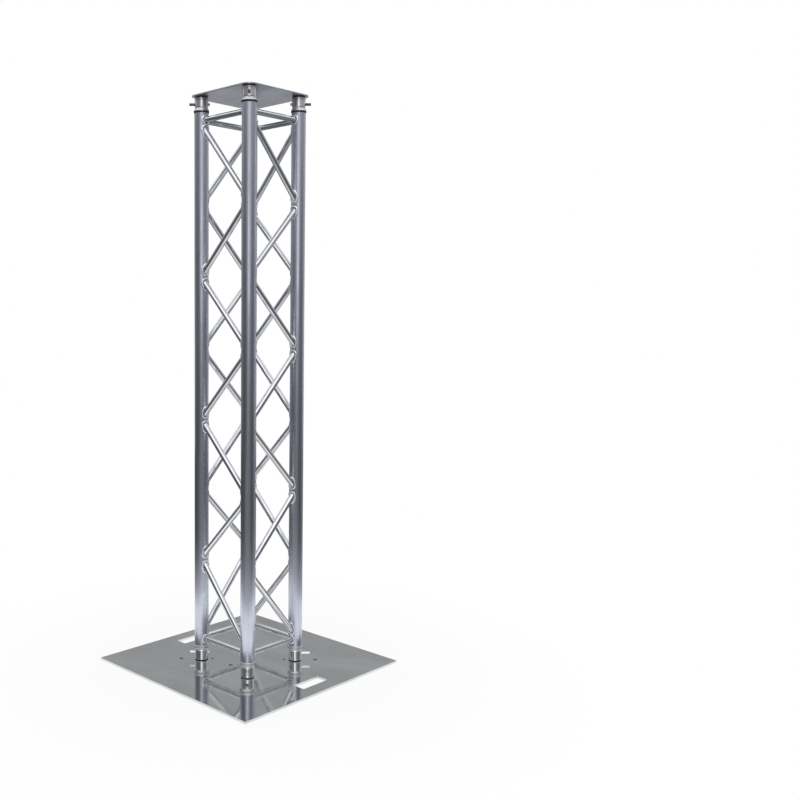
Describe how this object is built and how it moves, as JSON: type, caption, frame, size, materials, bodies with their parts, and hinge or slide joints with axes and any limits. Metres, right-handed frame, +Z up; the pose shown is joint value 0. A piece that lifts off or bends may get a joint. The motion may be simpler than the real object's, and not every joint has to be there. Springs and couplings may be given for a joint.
{
  "type": "truss totem",
  "caption": "Upright square box truss totem of round aluminium tube, pinned between a broad square base plate and a smaller square top plate.",
  "frame": {"origin": "centre of the base plate's underside", "axes": "+Z up along the truss; +X towards the plate edge with the right-hand slot; the sides face along X and Y"},
  "size_m": [0.762, 0.762, 2.0192],
  "materials": {
    "tube": "satin",
    "machined": "bright turned",
    "plate": "bright rolled",
    "pin": "bright zinc"
  },
  "bodies": {
    "totem": {"base_plate": "plate", "top_plate": "plate", "chord_front_left": "tube", "spigot_front_left_bottom": "machined", "spigot_front_left_top": "machined", "chord_front_right": "tube", "spigot_front_right_bottom": "machined", "spigot_front_right_top": "machined", "chord_back_right": "tube", "spigot_back_right_bottom": "machined", "spigot_back_right_top": "machined", "chord_back_left": "tube", "spigot_back_left_bottom": "machined", "spigot_back_left_top": "machined", "brace_front_1": "tube", "brace_front_2": "tube", "brace_front_3": "tube", "brace_front_4": "tube", "brace_front_5": "tube", "brace_front_6": "tube", "brace_front_7": "tube", "tie_front_bottom": "tube", "tie_front_top": "tube", "brace_right_1": "tube", "brace_right_2": "tube", "brace_right_3": "tube", "brace_right_4": "tube", "brace_right_5": "tube", "brace_right_6": "tube", "brace_right_7": "tube", "tie_right_bottom": "tube", "tie_right_top": "tube", "brace_back_1": "tube", "brace_back_2": "tube", "brace_back_3": "tube", "brace_back_4": "tube", "brace_back_5": "tube", "brace_back_6": "tube", "brace_back_7": "tube", "tie_back_bottom": "tube", "tie_back_top": "tube", "brace_left_1": "tube", "brace_left_2": "tube", "brace_left_3": "tube", "brace_left_4": "tube", "brace_left_5": "tube", "brace_left_6": "tube", "brace_left_7": "tube", "tie_left_bottom": "tube", "tie_left_top": "tube"},
    "pin_front_left_bottom": {"pin_front_left_bottom": "pin"},
    "pin_front_left_top": {"pin_front_left_top": "pin"},
    "pin_front_right_bottom": {"pin_front_right_bottom": "pin"},
    "pin_front_right_top": {"pin_front_right_top": "pin"},
    "pin_back_right_bottom": {"pin_back_right_bottom": "pin"},
    "pin_back_right_top": {"pin_back_right_top": "pin"},
    "pin_back_left_bottom": {"pin_back_left_bottom": "pin"},
    "pin_back_left_top": {"pin_back_left_top": "pin"}
  },
  "joints": [
    {"name": "pin_front_left_bottom_pull", "type": "slide", "parent": "totem", "child": "pin_front_left_bottom", "axis": [-0.7071, -0.7071, 0], "range_m": [0, 0.06]},
    {"name": "pin_front_left_top_pull", "type": "slide", "parent": "totem", "child": "pin_front_left_top", "axis": [-0.7071, -0.7071, 0], "range_m": [0, 0.06]},
    {"name": "pin_front_right_bottom_pull", "type": "slide", "parent": "totem", "child": "pin_front_right_bottom", "axis": [0.7071, -0.7071, 0], "range_m": [0, 0.06]},
    {"name": "pin_front_right_top_pull", "type": "slide", "parent": "totem", "child": "pin_front_right_top", "axis": [0.7071, -0.7071, 0], "range_m": [0, 0.06]},
    {"name": "pin_back_right_bottom_pull", "type": "slide", "parent": "totem", "child": "pin_back_right_bottom", "axis": [0.7071, 0.7071, 0], "range_m": [-0.0115, 0.0485]},
    {"name": "pin_back_right_top_pull", "type": "slide", "parent": "totem", "child": "pin_back_right_top", "axis": [0.7071, 0.7071, 0], "range_m": [0, 0.06]},
    {"name": "pin_back_left_bottom_pull", "type": "slide", "parent": "totem", "child": "pin_back_left_bottom", "axis": [-0.7071, 0.7071, 0], "range_m": [0, 0.06]},
    {"name": "pin_back_left_top_pull", "type": "slide", "parent": "totem", "child": "pin_back_left_top", "axis": [-0.7071, 0.7071, 0], "range_m": [0, 0.06]}
  ]
}
